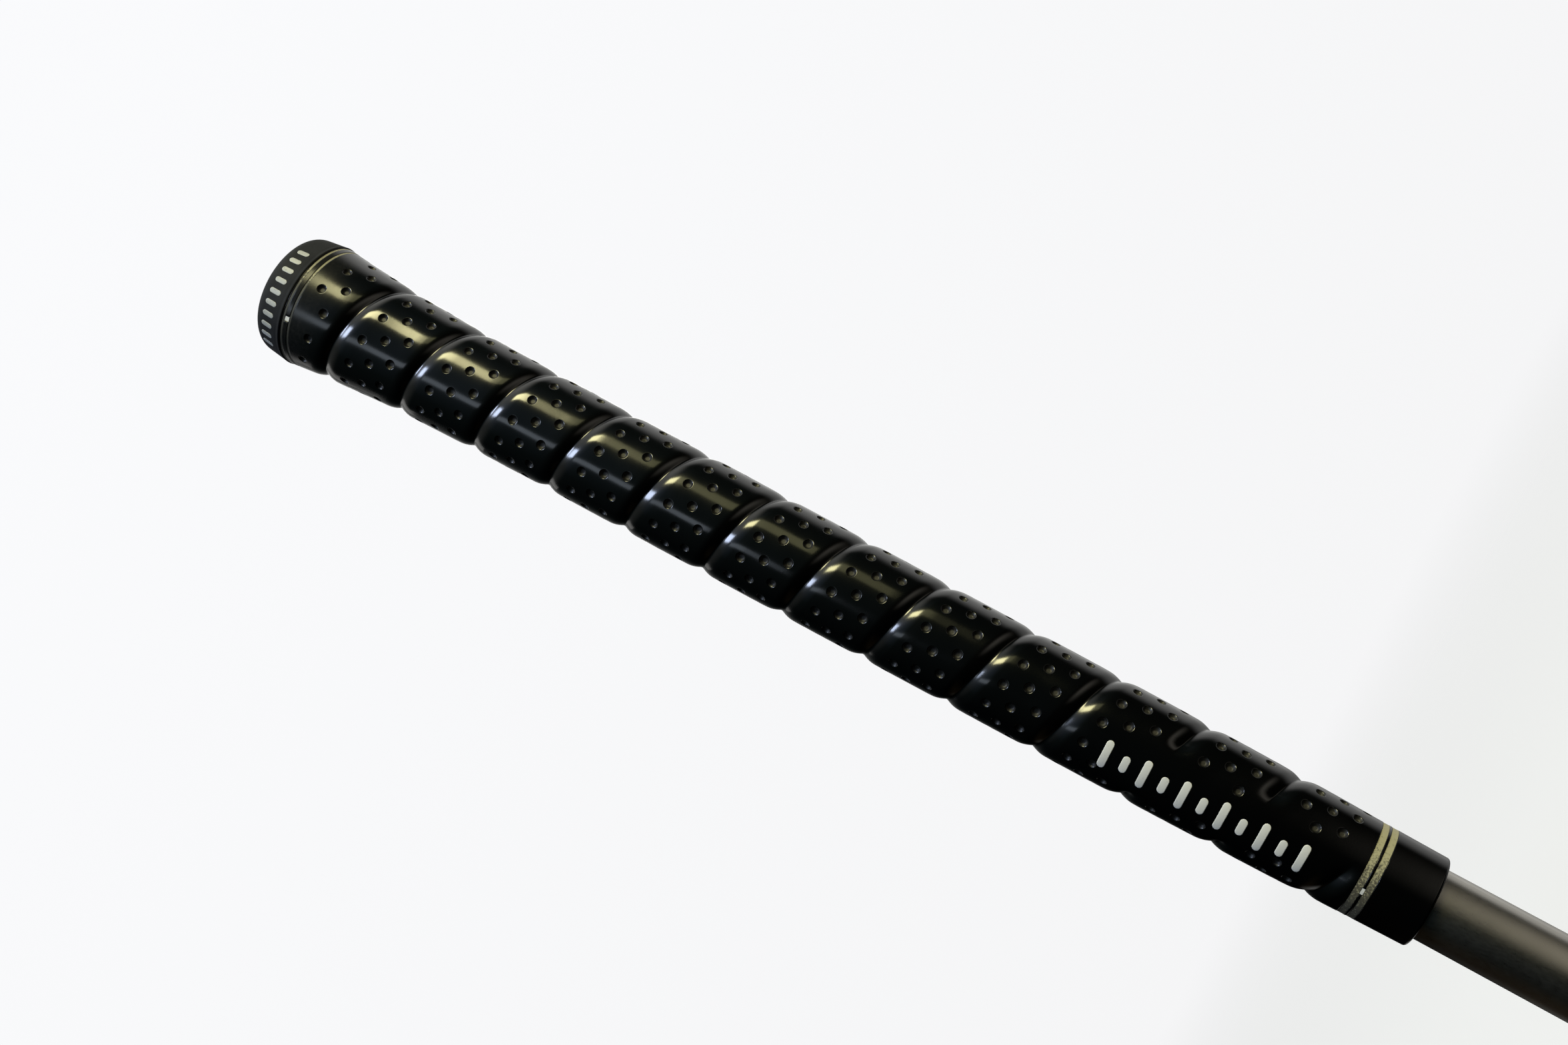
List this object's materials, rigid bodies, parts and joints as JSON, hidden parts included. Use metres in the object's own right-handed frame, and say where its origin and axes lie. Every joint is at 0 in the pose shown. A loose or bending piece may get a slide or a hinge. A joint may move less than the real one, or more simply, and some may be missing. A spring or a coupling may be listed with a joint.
{
  "type": "golf grip",
  "caption": "Tapered rubber golf grip with a spiral wrap groove, dimples, a domed butt cap and painted ring lines, fitted on a short stub of steel shaft.",
  "frame": {"origin": "centre of the shaft's cut end", "axes": "+Z along the grip's axis towards the butt cap, -Y out of the middle of the smooth panel and the alignment mark"},
  "size_m": [0.0284, 0.0284, 0.33],
  "materials": {
    "sleeve_rubber": "gloss",
    "cap_rubber": "matte",
    "cream_paint": "satin",
    "grey_paint": "satin",
    "white_paint": "satin",
    "tape": "matte",
    "steel": "satin"
  },
  "bodies": {
    "root": {"shaft": "steel", "grip_tape": "tape", "grip_sleeve": "sleeve_rubber", "butt_cap": "cap_rubber", "butt_line_upper": "cream_paint", "butt_line_lower": "cream_paint", "mouth_line_upper": "cream_paint", "mouth_line_lower": "cream_paint", "butt_tick": "white_paint", "mouth_tick": "white_paint", "panel_bars": "white_paint", "cap_bars": "grey_paint"}
  },
  "joints": []
}
